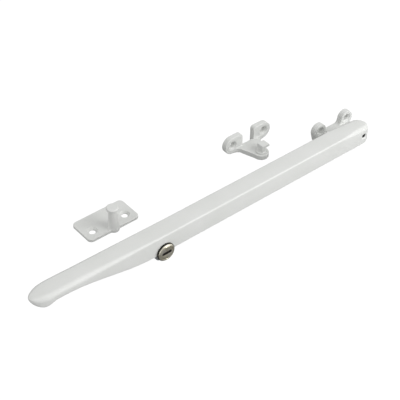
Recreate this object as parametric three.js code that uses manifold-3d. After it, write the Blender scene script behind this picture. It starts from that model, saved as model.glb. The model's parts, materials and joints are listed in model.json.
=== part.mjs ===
// Key-lockable sliding casement window stay: a channel arm with a handle, its sash bracket,
// the loose frame bracket with its swivelling hook, and the loose peg plate.
// Millimetres. +X runs along the arm towards its pivot, -Y is the key side, +Z is up.
// The origin is the middle of the set's footprint, on the surface that it lies on.

import * as THREE from 'three';
import { mergeVertices } from 'three/addons/utils/BufferGeometryUtils.js';
import Module from 'manifold-3d';

const wasm = await Module();
wasm.setup();

// ---------------------------------------------------------------- driving dimensions

const GAP = 0.3;                 // clearance kept between neighbouring pieces
const EPS = 0.05;                // how far a cutting tool runs past a face
const SEGMENTS = 24;             // facets on a full circle
const SET_LENGTH = 309;          // nose of the handle to the end of the sash bracket
const SET_DEPTH = 70;            // face of the lock to the back of the peg plate

// Arm: a channel, open underneath, that runs on into a solid handle.
const ARM = {
  length: 300,
  width: 14.8,
  height: 14.8,
  bottom: 5.6,                   // height of the channel's lower edge
  wall: 1.6,
  roof: 1.8,
  edge: 1.2,                     // edge rounding along the channel
  lowerEdge: 0.5,
  dome: [264, 294],              // where the edges soften into the domed end, from the nose
  endEdge: 3.8,                  // rounding of the domed end
  endLength: 10.5,               // length over which its top falls and its underside rises
  endDrop: 3,
  endTuck: 4.5,
  endWall: 1.9,
  cavityStart: 80,               // from the nose
};

// The handle: distances are from its nose.
const HANDLE = {
  depth: 6.6,                    // of the slim part
  slim: [23, 90],                // where the slim part deepens into the channel
  lift: 2,                       // rise of its top above the channel's
  flare: 0.6,                    // extra width on each side
  spread: [15, 120],             // where lift and flare fade out
  edge: 3.6,
  softEdge: [20, 110],
  bulbDepth: 9.6,
  bulb: [6, 16],
  noseLength: 13,
  nosePower: 1.95,               // 2 would be an ellipse, less is more pointed
  noseDrop: 2.1,                 // fall of the top at the nose
  noseTuck: 6.8,                 // rise of the underside at the nose
};
ARM.top = ARM.bottom + ARM.height;
ARM.left = -SET_LENGTH / 2;
ARM.right = ARM.left + ARM.length;
ARM.inner = ARM.width - 2 * ARM.wall;
ARM.ceiling = ARM.top - ARM.roof;

// Key lock, on the key side near the handle.
const LOCK = {
  fromNose: 101,
  rise: 1.5,                     // axis above the channel's lower edge
  faceRadius: 6.6,
  rimRadius: 7,
  rimDepth: 2.2,
  barrelRadius: 4.9,
  plugFace: 5.2,
  plugFaceDepth: 1.2,
  plugRadius: 3.6,
  tailRadius: 2.4,
  tailSquare: 3.4,
  proud: 2.4,                    // face of the lock beyond the side of the arm
  slotLength: 7.6,
  slotWidth: 1.9,
  slotDepth: 2.6,
  bodyWidth: 14.2,
  bodyDrop: 5.6,                 // body below the lock's axis
  bodyBack: -1.2,                // back of the body, from the arm's centreline
  lugX: 9.8,                     // fixing lug, from the lock's axis towards the pivot
  lugY: -2.6,
};
LOCK.x = ARM.left + LOCK.fromNose;
LOCK.z = ARM.bottom + LOCK.rise;

// The arm's centreline, set so that the lock's face is the front of the set's footprint.
const ARM_Y = -SET_DEPTH / 2 + ARM.width / 2 + LOCK.proud;

// Pivot at the far end: a yoke on a vertical rivet, and a cross pin through the arm.
const PIVOT = {
  fromEnd: 8,
  pinRise: 6.9,                  // cross pin above the channel's lower edge
  pinRadius: 1.6,
  pinLength: 13,
  yokeRadius: 5.4,
  yokeWidth: 7.4,
  yokeOuter: 9.8,
  yokeInner: 6.4,
  yokeBase: 2.2,
  yokeTop: 3,                    // yoke above the cross pin's axis
  rivetRadius: 2,
  rivetHead: 3,
  rivetHeadDepth: 1.5,
  washerRadius: 4.2,
  washerDepth: 0.6,
};
PIVOT.x = ARM.right - PIVOT.fromEnd;
PIVOT.pinZ = ARM.bottom + PIVOT.pinRise;

// Track: a folded strip that lines the channel, and the slider that runs in it.
const TRACK = {
  start: 116,                    // from the nose of the handle
  end: 284,
  sheet: 0.7,
  lift: 0.8,                     // lips above the arm's lower edge
  slot: 7.6,
  padHeight: 2.2,
  padLength: 10,
  padWidth: 9.2,
};
const TRACK_SCREW = { radius: 1.2, head: 2.3, headDepth: 1.3, recess: 1.5 };
const LOW_HEAD = 0.6;            // head of the middle track screw, which the slider passes under
TRACK.outer = ARM.inner - 2 * GAP;
TRACK.inner = TRACK.outer - 2 * TRACK.sheet;
TRACK.top = ARM.ceiling - TRACK.padHeight - GAP;
TRACK.bottom = ARM.bottom + TRACK.lift;
TRACK.roof = TRACK.top - TRACK.sheet;
TRACK.floor = TRACK.bottom + TRACK.sheet;

const STOP_LENGTH = 7;
const SCREW_TIP = 1.5;           // track screws end this far below the arm's top
const STOP_SEAT = TRACK.floor + 2.6;

const SLIDER = {
  fromNose: 227,
  length: 26,
  height: 5.2,
  pocketLength: 8.6,
  pocketWidth: 7.2,
  springLength: 18,
  springWidth: 5,
  springSheet: 0.4,
  springRise: 0.5,
};

// Screw holes that the three fixed pieces share: for countersunk wood screws.
const SCREW_HOLE = { radius: 2.3, sink: 3.9, sinkDepth: 1.6 };

const SASH_BRACKET = {
  fromNose: 288.8,               // middle of the two screw holes
  back: 26.4,                    // mounting face behind the arm's centreline
  thickness: 4.8,
  spacing: 28.4,
  holeZ: 8.2,
  lobe: 6,
  tongueBottom: 2.4,
  tongue: 4.8,                   // top of the tongue
  rootWidth: 18,
  tipRadius: 4.4,
};

const FRAME_BRACKET = {
  fromNose: 226.8,
  back: 55.7,
  thickness: 4.5,
  spacing: 31,
  holeZ: 7.5,
  lobe: 7,
  corner: 2.4,                   // top corners beside the notch
  notch: 11.2,
  tongue: 3.8,
  rootWidth: 21,
  tipRadius: 6,
  reach: 19.3,                   // mounting face to the middle of the tongue's round end
};

const HOOK = {
  rivetRadius: 2.5,
  collarRadius: 4,
  collarDepth: 0.6,
  postBack: -1.4,                // from the rivet's axis
  postLength: 3.4,
  postWidth: 6.4,
  height: 5.8,                   // above the collar
  headLength: 7,
  headDepth: 2.2,
};

const PEG_PLATE = {
  fromNose: 91.6,
  length: 42.8,
  width: 23.4,
  thickness: 2.2,
  corner: 3.6,
  edge: 0.7,
  spacing: 27.6,
  holesForward: 3.2,             // line of the holes, in front of the plate's middle
};

const PEG = {
  inset: 2.3,                    // axis behind the plate's front edge
  height: 20.2,
  headRadius: 4.45,
  headDepth: 2,
  neck: 2.8,
  foot: 4,
  fillet: 0.4,
};

// ---------------------------------------------------------------- materials

const coat = { color: 0xf1f1ee, roughness: 0.42, metalness: 0 };
const nickel = { color: 0xb9b4a6, roughness: 0.28, metalness: 1 };
const zinc = { color: 0x9da2a8, roughness: 0.45, metalness: 1 };
const steel = { color: 0xc3c5c8, roughness: 0.35, metalness: 1 };
const nylonWhite = { color: 0xe6e4dc, roughness: 0.55, metalness: 0 };
const nylonBlack = { color: 0x232426, roughness: 0.6, metalness: 0 };

// ---------------------------------------------------------------- solids and booleans

// A closed manifold from a three.js geometry.
function solid(geometry) {
  const bare = geometry.index ? geometry.toNonIndexed() : geometry.clone();
  bare.deleteAttribute('normal');
  bare.deleteAttribute('uv');
  const merged = mergeVertices(bare, 1e-4);
  return new wasm.Manifold(new wasm.Mesh({
    numProp: 3,
    vertProperties: Float32Array.from(merged.attributes.position.array),
    triVerts: Uint32Array.from(merged.index.array),
  }));
}

function geometryOf(manifold) {
  const mesh = manifold.getMesh();
  const geometry = new THREE.BufferGeometry();
  geometry.setAttribute('position', new THREE.BufferAttribute(mesh.vertProperties, 3));
  geometry.setIndex(new THREE.BufferAttribute(mesh.triVerts, 1));
  return geometry;
}

// A box given by its lowest and highest corners.
function block(low, high) {
  const size = high.map((value, axis) => value - low[axis]);
  const geometry = new THREE.BoxGeometry(...size);
  geometry.translate(...low.map((value, axis) => value + size[axis] / 2));
  return solid(geometry);
}

// A solid of revolution about Z from [radius, height] pairs that start and end on the axis.
function turned(profile, segments = SEGMENTS) {
  const points = profile.map(([radius, height]) => new THREE.Vector2(radius, height));
  const geometry = new THREE.LatheGeometry(points, segments);
  geometry.rotateX(Math.PI / 2);
  return solid(geometry);
}

function rod(radius, from, to, segments = SEGMENTS) {
  return turned([[0, from], [radius, from], [radius, to], [0, to]], segments);
}

// A prism of a plan outline between two heights, with optional rounded edges.
function prism(shape, from, to, round = 0, curveSegments = 8) {
  const geometry = new THREE.ExtrudeGeometry(shape, {
    depth: to - from - 2 * round,
    bevelEnabled: round > 0,
    bevelThickness: round,
    bevelSize: round,
    bevelOffset: -round,
    bevelSegments: 2,
    curveSegments,
  });
  geometry.translate(0, 0, from + round);
  return solid(geometry);
}

// Turn a solid made along Z so that it runs along +Y, keeping X.
const alongY = (part) => part.rotate([-90, 0, 0]);

// Stand an outline drawn in X and Z upright, from y = front to y = back.
function upright(shape, front, back, round = 0) {
  return prism(shape, -back, -front, round).rotate([90, 0, 0]);
}

function roundedRectangle(length, width, radius) {
  const x = length / 2;
  const y = width / 2;
  const shape = new THREE.Shape();
  shape.moveTo(-x + radius, -y);
  shape.lineTo(x - radius, -y);
  shape.absarc(x - radius, -y + radius, radius, -Math.PI / 2, 0);
  shape.absarc(x - radius, y - radius, radius, 0, Math.PI / 2);
  shape.absarc(-x + radius, y - radius, radius, Math.PI / 2, Math.PI);
  shape.absarc(-x + radius, -y + radius, radius, Math.PI, Math.PI * 1.5);
  return shape;
}

// A countersunk screw hole along Z whose wide mouth is at the given height.
function screwHole(mouth, depth) {
  const { radius, sink, sinkDepth } = SCREW_HOLE;
  return turned([
    [0, mouth - depth - EPS],
    [radius, mouth - depth - EPS],
    [radius, mouth - sinkDepth],
    [sink, mouth],
    [sink, mouth + EPS],
    [0, mouth + EPS],
  ]);
}

// The same hole for an upright plate, opening towards -Y.
const wallScrewHole = (front, depth) => screwHole(-front, depth).rotate([90, 0, 0]);

const group = new THREE.Group();

function add(name, part, finish, position = [0, 0, 0]) {
  const mesh = new THREE.Mesh(geometryOf(part), new THREE.MeshStandardMaterial(finish));
  mesh.name = name;
  mesh.position.set(...position);
  group.add(mesh);
}

// ---------------------------------------------------------------- arm

// A smooth step from 0 to 1 as a value passes from one limit to the other.
const blend = (from, to, value) => THREE.MathUtils.smoothstep(value, from, to);

// How far a rounded end has opened out, from 0 at its tip to 1.
function opened(distance, reach, power) {
  const share = Math.min(distance / reach, 1);
  return (1 - (1 - share) ** power) ** (1 / power);
}

// The arm's cross-section at a distance from its nose.
function armSection(distance) {
  const { lerp } = THREE.MathUtils;
  const nose = opened(distance, HANDLE.noseLength, HANDLE.nosePower);
  const tail = opened(ARM.length - distance, ARM.width / 2, 2);
  const dome = 1 - opened(ARM.length - distance, ARM.endLength, 2);
  const slim = 1 - blend(...HANDLE.slim, distance);
  const bulb = 1 - blend(...HANDLE.bulb, distance);
  const fade = 1 - blend(...HANDLE.spread, distance);
  const top = ARM.top + HANDLE.lift * fade;
  const depth = lerp(ARM.height, HANDLE.depth, slim) + bulb * (HANDLE.bulbDepth - HANDLE.depth);
  const soft = lerp(HANDLE.edge, ARM.edge, blend(...HANDLE.softEdge, distance));
  return {
    half: Math.max((ARM.width / 2 + HANDLE.flare * fade) * nose * tail, 0.4),
    top: top - HANDLE.noseDrop * (1 - nose) - ARM.endDrop * dome,
    bottom: top - depth + HANDLE.noseTuck * (1 - nose) + ARM.endTuck * dome,
    upper: lerp(soft, ARM.endEdge, blend(...ARM.dome, distance)),
    lower: ARM.lowerEdge,
  };
}

// One closed ring of points around the section, starting low on the key side.
function armRing(distance, steps = 4) {
  const section = armSection(distance);
  const { half, top, bottom } = section;
  const limit = Math.min(half, (top - bottom) / 2) * 0.96;
  const upper = Math.min(section.upper, limit);
  const lower = Math.min(section.lower, limit);
  const ring = [];
  const corner = (y, z, radius, start) => {
    for (let step = 0; step <= steps; step += 1) {
      const angle = start + (step / steps) * (Math.PI / 2);
      ring.push([ARM.left + distance, y + radius * Math.cos(angle), z + radius * Math.sin(angle)]);
    }
  };
  corner(half - lower, bottom + lower, lower, -Math.PI / 2);
  corner(half - upper, top - upper, upper, 0);
  corner(-half + upper, top - upper, upper, Math.PI / 2);
  corner(-half + lower, bottom + lower, lower, Math.PI);
  return ring;
}

// Skin a run of rings that all have the same number of points, and close both ends.
function loft(rings) {
  const count = rings[0].length;
  const indices = [];
  for (let row = 0; row + 1 < rings.length; row += 1) {
    for (let column = 0; column < count; column += 1) {
      const a = row * count + column;
      const b = row * count + (column + 1) % count;
      indices.push(a, b, a + count, b, b + count, a + count);
    }
  }
  const last = (rings.length - 1) * count;
  for (let column = 1; column + 1 < count; column += 1) {
    indices.push(0, column + 1, column);
    indices.push(last, last + column, last + column + 1);
  }
  const geometry = new THREE.BufferGeometry();
  geometry.setAttribute('position', new THREE.Float32BufferAttribute(rings.flat(2), 3));
  geometry.setIndex(indices);
  return solid(geometry);
}

// Distances at which the arm's section is taken: close together where it turns.
function armStations() {
  const half = ARM.width / 2;
  const turn = (count, reach) => Array.from({ length: count }, (_, step) => {
    const angle = (step / count) * (Math.PI / 2);
    return reach * (1 - Math.cos(angle));
  });
  const nose = turn(9, HANDLE.noseLength);
  const tail = turn(8, half).map((reach) => ARM.length - reach).reverse();
  const neck = Array.from({ length: 13 }, (_, step) => 20 + 6 * step);
  const handle = [HANDLE.noseLength, 15, 17, ...neck, 100, 110, 120];
  return [...nose, ...handle, 264, 272, 278, 284, 288, ARM.length - half, ...tail];
}

// A plan outline with straight sides and half-round ends, centred on the arm.
function slotOutline(from, to, width) {
  const radius = width / 2;
  const shape = new THREE.Shape();
  shape.moveTo(from + radius, -radius);
  shape.lineTo(to - radius, -radius);
  shape.absarc(to - radius, 0, radius, -Math.PI / 2, Math.PI / 2);
  shape.lineTo(from + radius, radius);
  shape.absarc(from + radius, 0, radius, Math.PI / 2, Math.PI * 1.5);
  return shape;
}

const trackScrewX = [
  ARM.left + TRACK.start + STOP_LENGTH / 2,
  ARM.left + (TRACK.start + TRACK.end) / 2,
  ARM.left + TRACK.end - STOP_LENGTH / 2,
];

// Lock cutting tools and solids are made along +Z from the key side, then laid along +Y.
const lockRod = (radius, from, to, segments) => alongY(rod(radius, from, to, segments))
  .translate([LOCK.x, 0, LOCK.z]);

const LOCK_FACE = -ARM.width / 2 - LOCK.proud;
const LUG = { bottom: 6.6, top: 9.2, radius: 2.6 };

function makeArm() {
  const outside = loft(armStations().map((distance) => armRing(distance)));
  const cavityStart = ARM.left + ARM.cavityStart;
  const cavityEnd = ARM.right - ARM.endWall;
  const cavity = prism(
    slotOutline(cavityStart, cavityEnd, ARM.inner), ARM.bottom - ARM.height, ARM.ceiling,
  );
  let arm = outside.subtract(cavity);
  for (const x of trackScrewX) {
    const pad = block(
      [x - TRACK.padLength / 2, -TRACK.padWidth / 2, ARM.ceiling - TRACK.padHeight],
      [x + TRACK.padLength / 2, TRACK.padWidth / 2, ARM.ceiling + EPS],
    );
    const bore = rod(TRACK_SCREW.radius + GAP, TRACK.top - 1, ARM.top - 1.1, 12);
    arm = arm.add(pad).subtract(bore.translate([x, 0, 0]));
  }
  const lugX = LOCK.x + LOCK.lugX;
  const boss = rod(LUG.radius, LUG.top + GAP, ARM.ceiling + EPS, 16);
  const bossBore = rod(FIXING_SCREW.radius + GAP, LUG.top, ARM.ceiling - 1, 12);
  arm = arm.add(boss.translate([lugX, LOCK.lugY, 0]));
  arm = arm.subtract(bossBore.translate([lugX, LOCK.lugY, 0]));
  arm = arm.subtract(lockRod(LOCK.barrelRadius + GAP, -ARM.width / 2 - 1, -ARM.inner / 2 + 1));
  const pinBore = rod(PIVOT.pinRadius + GAP, -ARM.width, ARM.width, 16);
  arm = arm.subtract(alongY(pinBore).translate([PIVOT.x, 0, PIVOT.pinZ]));
  return arm;
}

// ---------------------------------------------------------------- lock

const FIXING_SCREW = { radius: 1.2, head: 2.3, headDepth: 1.4, length: 6.5, recess: 1.5 };
const CAM_SCREW = { radius: 0.8, head: 1.9, headDepth: 1, length: 3.4, recess: 1.2 };
const CAM = { front: 0.6, thickness: 1.3, reach: 9.9, width: 6.4, bend: 5.6, tipBack: 4.5 };
const CLIP = { front: -0.9, thickness: 0.6, outer: 4.4 };

// The zinc body that the barrel sits in, with a lug that screws up into the arm.
function makeLockBody() {
  const half = LOCK.bodyWidth / 2;
  const bottom = LOCK.z - LOCK.bodyDrop;
  const ease = 1.4;
  const inside = -ARM.inner / 2 + GAP;
  const shape = new THREE.Shape();
  shape.moveTo(-half + ease, bottom);
  shape.lineTo(half - ease, bottom);
  shape.lineTo(half, bottom + ease);
  shape.lineTo(half, ARM.bottom - GAP);
  shape.lineTo(-half, ARM.bottom - GAP);
  shape.lineTo(-half, bottom + ease);
  let body = upright(shape, -ARM.width / 2 + 0.1, LOCK.bodyBack);
  body = body.add(block(
    [-half, inside, ARM.bottom - GAP - EPS],
    [half, LOCK.bodyBack, LOCK.z + LOCK.barrelRadius + 1.4],
  ));
  body = body.add(block([half - 1, inside, LUG.bottom], [LOCK.lugX, LOCK.bodyBack, LUG.top]));
  const lug = rod(LUG.radius - GAP, LUG.bottom, LUG.top, 20);
  body = body.add(lug.translate([LOCK.lugX, LOCK.lugY, 0])).translate([LOCK.x, 0, 0]);
  body = body.subtract(lockRod(LOCK.barrelRadius + GAP, LOCK_FACE, 0));
  const screwBore = rod(FIXING_SCREW.radius + GAP, 0, ARM.top, 12);
  return body.subtract(screwBore.translate([LOCK.x + LOCK.lugX, LOCK.lugY, 0]));
}

// The barrel: a bevelled face with a knurled rim, bored and stepped for the plug.
function makeLockBarrel() {
  const { faceRadius, rimRadius, rimDepth, barrelRadius } = LOCK;
  const rimBack = LOCK_FACE + rimDepth;
  const rimFront = LOCK_FACE + 0.6;
  let barrel = alongY(turned([
    [0, LOCK_FACE],
    [faceRadius - 0.6, LOCK_FACE],
    [faceRadius, rimFront],
    [faceRadius, rimBack],
    [barrelRadius, rimBack],
    [barrelRadius, LOCK.bodyBack],
    [0, LOCK.bodyBack],
  ], 40));
  const knurls = 24;
  const ridgeHalf = 0.3;
  for (let tooth = 0; tooth < knurls; tooth += 1) {
    const ridge = block(
      [faceRadius - 0.4, rimFront, -ridgeHalf],
      [rimRadius, rimBack, ridgeHalf],
    );
    barrel = barrel.add(ridge.rotate([0, (tooth / knurls) * 360, 0]));
  }
  barrel = barrel.translate([LOCK.x, 0, LOCK.z]);
  const plugSeat = LOCK_FACE + LOCK.plugFaceDepth + GAP;
  barrel = barrel.subtract(lockRod(LOCK.plugFace + GAP, LOCK_FACE - 1, plugSeat, 32));
  return barrel.subtract(lockRod(LOCK.plugRadius + GAP, LOCK_FACE, 0));
}

// The turning plug: a slotted face, a round body and a squared tail for the cam.
function makeLockPlug() {
  const face = LOCK_FACE + 0.1;
  let plug = alongY(turned([
    [0, face],
    [LOCK.plugFace, face],
    [LOCK.plugFace, face + LOCK.plugFaceDepth],
    [LOCK.plugRadius, face + LOCK.plugFaceDepth],
    [LOCK.plugRadius, LOCK.bodyBack],
    [LOCK.tailRadius, LOCK.bodyBack],
    [LOCK.tailRadius, CAM.front - GAP],
    [0, CAM.front - GAP],
  ], 28));
  const square = LOCK.tailSquare / 2;
  plug = plug.add(block([-square, -1, -square], [square, CAM.front + CAM.thickness, square]));
  plug = plug.subtract(alongY(rod(CAM_SCREW.radius + GAP, -1.4, 4, 12)));
  const keyway = upright(
    slotOutline(-LOCK.slotLength / 2, LOCK.slotLength / 2, LOCK.slotWidth),
    LOCK_FACE - 1,
    LOCK_FACE + LOCK.slotDepth,
  );
  return plug.subtract(keyway).translate([LOCK.x, 0, LOCK.z]);
}

// An open spring clip that keeps the plug in its barrel.
function makeLockClip() {
  const { front, thickness, outer } = CLIP;
  const inner = LOCK.tailRadius + GAP;
  const ring = rod(outer, front, front + thickness).subtract(rod(inner, front - 1, front + 2));
  const mouth = block([-1.6, 0, front - 1], [1.6, outer + 1, front + 2]);
  return alongY(ring.subtract(mouth)).translate([LOCK.x, 0, LOCK.z]);
}

// A lever behind the body, stepped back at its tip to pass under the peg's head.
function makeLockCam() {
  const half = CAM.width / 2;
  const back = CAM.front + CAM.thickness;
  const stepTop = CAM.bend + CAM.thickness;
  const lever = new THREE.Shape();
  lever.moveTo(-half, stepTop);
  lever.absarc(0, 0, half, Math.PI, Math.PI * 2);
  lever.lineTo(half, stepTop);
  let cam = upright(lever, CAM.front, back);
  cam = cam.add(block([-half, CAM.front, CAM.bend], [half, CAM.tipBack, stepTop]));
  cam = cam.add(block([-half, CAM.tipBack - CAM.thickness, CAM.bend], [half, CAM.tipBack, CAM.reach]));
  const square = LOCK.tailSquare / 2 + GAP;
  cam = cam.subtract(block([-square, -1, -square], [square, back + 1, square]));
  return cam.translate([LOCK.x, 0, LOCK.z]);
}

// A screw along +Z with its head at the origin and a cross recess in the head.
function screw({ radius, head, headDepth, length, recess }) {
  const body = turned([
    [0, 0],
    [head * 0.8, 0],
    [head, headDepth * 0.4],
    [head, headDepth * 0.6],
    [radius, headDepth],
    [radius, length - radius],
    [radius * 0.5, length],
    [0, length],
  ], 16);
  const blade = block([-recess, -0.25, -1], [recess, 0.25, headDepth * 0.5]);
  return body.subtract(blade.add(blade.rotate([0, 0, 90])));
}

function makeFixingScrew() {
  const head = LUG.bottom - GAP - FIXING_SCREW.headDepth;
  return screw(FIXING_SCREW).translate([LOCK.x + LOCK.lugX, LOCK.lugY, head]);
}

// The screw that holds the cam on the plug's tail, driven from the back.
function makeCamScrew() {
  const head = CAM.front + CAM.thickness + GAP + CAM_SCREW.headDepth;
  return screw(CAM_SCREW).rotate([90, 0, 0]).translate([LOCK.x, head, LOCK.z]);
}

// ---------------------------------------------------------------- track, slider and stops

function makeTrack() {
  const outer = TRACK.outer / 2;
  const inner = TRACK.inner / 2;
  const slot = TRACK.slot / 2;
  const { top, bottom, roof, floor } = TRACK;
  const radius = 1;
  const shape = new THREE.Shape();
  shape.moveTo(slot, bottom);
  shape.lineTo(outer - radius, bottom);
  shape.absarc(outer - radius, bottom + radius, radius, -Math.PI / 2, 0);
  shape.absarc(outer - radius, top - radius, radius, 0, Math.PI / 2);
  shape.absarc(-outer + radius, top - radius, radius, Math.PI / 2, Math.PI);
  shape.absarc(-outer + radius, bottom + radius, radius, Math.PI, Math.PI * 1.5);
  shape.lineTo(-slot, bottom);
  shape.lineTo(-slot, floor);
  shape.lineTo(-inner, floor);
  shape.lineTo(-inner, roof);
  shape.lineTo(inner, roof);
  shape.lineTo(inner, floor);
  shape.lineTo(slot, floor);
  const from = ARM.left + TRACK.start;
  const to = ARM.left + TRACK.end;
  let track = prism(shape, from, to, 0, 3).rotate([90, 0, 90]);
  for (const x of trackScrewX) {
    track = track.subtract(rod(TRACK_SCREW.radius + GAP, roof - 1, top + 1, 16).translate([x, 0, 0]));
  }
  return track;
}

// Track screws clamp the stops at both ends; the middle one bears on the track's web.
function makeTrackScrew(x) {
  const isMiddle = x === trackScrewX[1];
  const headDepth = isMiddle ? LOW_HEAD : TRACK_SCREW.headDepth;
  const head = (isMiddle ? TRACK.roof - GAP : STOP_SEAT) - headDepth;
  const length = ARM.top - SCREW_TIP - head;
  return screw({ ...TRACK_SCREW, headDepth, length }).translate([x, 0, head]);
}

function makeTrackStop(x) {
  const half = STOP_LENGTH / 2;
  const wide = TRACK.inner / 2 - GAP;
  const stop = block([x - half, -wide, TRACK.floor + GAP], [x + half, wide, TRACK.roof - GAP]);
  const bore = rod(TRACK_SCREW.radius + GAP, 0, ARM.top, 16);
  const recess = rod(TRACK_SCREW.head + GAP, 0, STOP_SEAT + GAP, 16);
  return stop.subtract(bore.add(recess).translate([x, 0, 0]));
}

const sliderX = ARM.left + SLIDER.fromNose;
const sliderBottom = TRACK.floor + GAP;
const sliderTop = sliderBottom + SLIDER.height;

// Nylon block with an open pocket for the hook and a ledge that the hook's nose sits on.
function makeSlider() {
  const wide = TRACK.inner / 2 - GAP;
  const body = prism(roundedRectangle(SLIDER.length, 2 * wide, 1), sliderBottom, sliderTop);
  const pocket = block(
    [-SLIDER.pocketLength / 2, -SLIDER.pocketWidth / 2, sliderBottom - 1],
    [SLIDER.pocketLength / 2, SLIDER.pocketWidth / 2, sliderTop - 0.8],
  );
  const undercut = block(
    [0, -SLIDER.pocketWidth / 2, sliderBottom + 1.6],
    [SLIDER.pocketLength / 2 + 3.4, SLIDER.pocketWidth / 2, sliderTop - 0.8],
  );
  return body.subtract(pocket.add(undercut)).translate([sliderX, 0, 0]);
}

// A bowed strip that presses the slider away from the track's web.
function makeSliderSpring() {
  const half = SLIDER.springLength / 2;
  const { springSheet, springRise } = SLIDER;
  const shape = new THREE.Shape();
  shape.moveTo(-half, 0);
  shape.quadraticCurveTo(0, 2 * springRise, half, 0);
  shape.lineTo(half, springSheet);
  shape.quadraticCurveTo(0, 2 * springRise + springSheet, -half, springSheet);
  const wide = SLIDER.springWidth / 2;
  return upright(shape, -wide, wide).translate([sliderX, 0, sliderTop + 0.15]);
}

// ---------------------------------------------------------------- pivot

const TONGUE_TOP = SASH_BRACKET.tongue;
const WASHER_Z = TONGUE_TOP + GAP;
const YOKE_Z = WASHER_Z + PIVOT.washerDepth + GAP;

function makePivotYoke() {
  const half = PIVOT.yokeWidth / 2;
  const outer = PIVOT.yokeOuter / 2;
  const inner = PIVOT.yokeInner / 2;
  const top = PIVOT.pinZ + PIVOT.yokeTop;
  const cheek = new THREE.Shape();
  cheek.moveTo(-half, YOKE_Z);
  cheek.lineTo(half, YOKE_Z);
  cheek.lineTo(half, top - half);
  cheek.absarc(0, top - half, half, 0, Math.PI);
  let yoke = upright(cheek, -outer, outer).intersect(rod(PIVOT.yokeRadius, 0, ARM.top, 40));
  yoke = yoke.subtract(block([-half - 1, -inner, YOKE_Z + PIVOT.yokeBase], [half + 1, inner, ARM.top]));
  yoke = yoke.subtract(rod(PIVOT.rivetRadius + GAP, 0, YOKE_Z + PIVOT.yokeBase + 1));
  const bore = alongY(rod(PIVOT.pinRadius + GAP, -ARM.width, ARM.width, 16));
  return yoke.subtract(bore.translate([0, 0, PIVOT.pinZ])).translate([PIVOT.x, 0, 0]);
}

function makeCrossPin() {
  const half = PIVOT.pinLength / 2;
  const edge = 0.3;
  const { pinRadius } = PIVOT;
  return alongY(turned([
    [0, -half],
    [pinRadius - edge, -half],
    [pinRadius, -half + edge],
    [pinRadius, half - edge],
    [pinRadius - edge, half],
    [0, half],
  ], 16)).translate([PIVOT.x, 0, PIVOT.pinZ]);
}

const RIVET_FOOT = { radius: 3, depth: 1 };

function makePivotRivet() {
  const headZ = YOKE_Z + PIVOT.yokeBase + GAP;
  const { rivetRadius, rivetHead, rivetHeadDepth } = PIVOT;
  const foot = SASH_BRACKET.tongueBottom + GAP;
  return turned([
    [0, foot],
    [RIVET_FOOT.radius - GAP, foot],
    [rivetRadius, foot + RIVET_FOOT.depth - GAP],
    [rivetRadius, headZ],
    [rivetHead, headZ],
    [rivetHead, headZ + rivetHeadDepth * 0.5],
    [rivetHead * 0.6, headZ + rivetHeadDepth],
    [0, headZ + rivetHeadDepth],
  ]).translate([PIVOT.x, 0, 0]);
}

function makePivotWasher() {
  return rod(PIVOT.washerRadius, WASHER_Z, WASHER_Z + PIVOT.washerDepth, 32)
    .subtract(rod(PIVOT.rivetRadius + GAP, 0, YOKE_Z, 20))
    .translate([PIVOT.x, 0, 0]);
}

// ---------------------------------------------------------------- brackets

// The sash bracket's two round ears on a common foot, as seen from the front.
function sashEars() {
  const { spacing, lobe, holeZ, tongue } = SASH_BRACKET;
  const x = spacing / 2;
  const foot = 4;
  const shape = new THREE.Shape();
  shape.moveTo(-x - foot, 0);
  shape.lineTo(x + foot, 0);
  shape.lineTo(x + lobe, holeZ - 1);
  shape.absarc(x, holeZ, lobe, 0, Math.PI * 0.86);
  shape.quadraticCurveTo(x - lobe - 0.5, tongue + 1, x - lobe - 2.2, tongue);
  shape.lineTo(-x + lobe + 2.2, tongue);
  shape.quadraticCurveTo(-x + lobe + 0.5, tongue + 1, -x + lobe * 0.9, holeZ + lobe * 0.4);
  shape.absarc(-x, holeZ, lobe, Math.PI * 0.14, Math.PI);
  shape.lineTo(-x - lobe, holeZ - 1);
  return shape;
}

// A tongue that narrows from its root at y = 0 to a round end at [tipX, -reach].
function tongueOutline(rootWidth, reach, radius, tipX) {
  const half = rootWidth / 2;
  const fillet = 4;
  const shape = new THREE.Shape();
  shape.moveTo(half + fillet, 1);
  shape.lineTo(half + fillet, 0);
  shape.quadraticCurveTo(half, 0, half - 1, -fillet);
  shape.lineTo(tipX + radius, -reach);
  shape.absarc(tipX, -reach, radius, 0, -Math.PI, true);
  shape.lineTo(-half + 1, -fillet);
  shape.quadraticCurveTo(-half, 0, -half - fillet, 0);
  shape.lineTo(-half - fillet, 1);
  return shape;
}

function makeSashBracket() {
  const { back, thickness, spacing, holeZ, tongue, tongueBottom, tipRadius, rootWidth } = SASH_BRACKET;
  const centre = ARM.left + SASH_BRACKET.fromNose;
  const front = back - thickness;
  let bracket = upright(sashEars(), front, back, 0.8).translate([centre, 0, 0]);
  const tip = PIVOT.x - centre;
  const outline = tongueOutline(rootWidth, front, tipRadius, tip);
  bracket = bracket.add(prism(outline, tongueBottom, tongue).translate([centre, front, 0]));
  for (const side of [-1, 1]) {
    const hole = wallScrewHole(front, thickness).translate([centre + side * spacing / 2, 0, holeZ]);
    bracket = bracket.subtract(hole);
  }
  const rivetHole = turned([
    [0, tongueBottom - EPS],
    [RIVET_FOOT.radius, tongueBottom - EPS],
    [RIVET_FOOT.radius, tongueBottom + GAP],
    [PIVOT.rivetRadius + GAP, tongueBottom + RIVET_FOOT.depth],
    [PIVOT.rivetRadius + GAP, tongue + 1],
    [0, tongue + 1],
  ]);
  return bracket.subtract(rivetHole.translate([PIVOT.x, 0, 0]));
}

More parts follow.
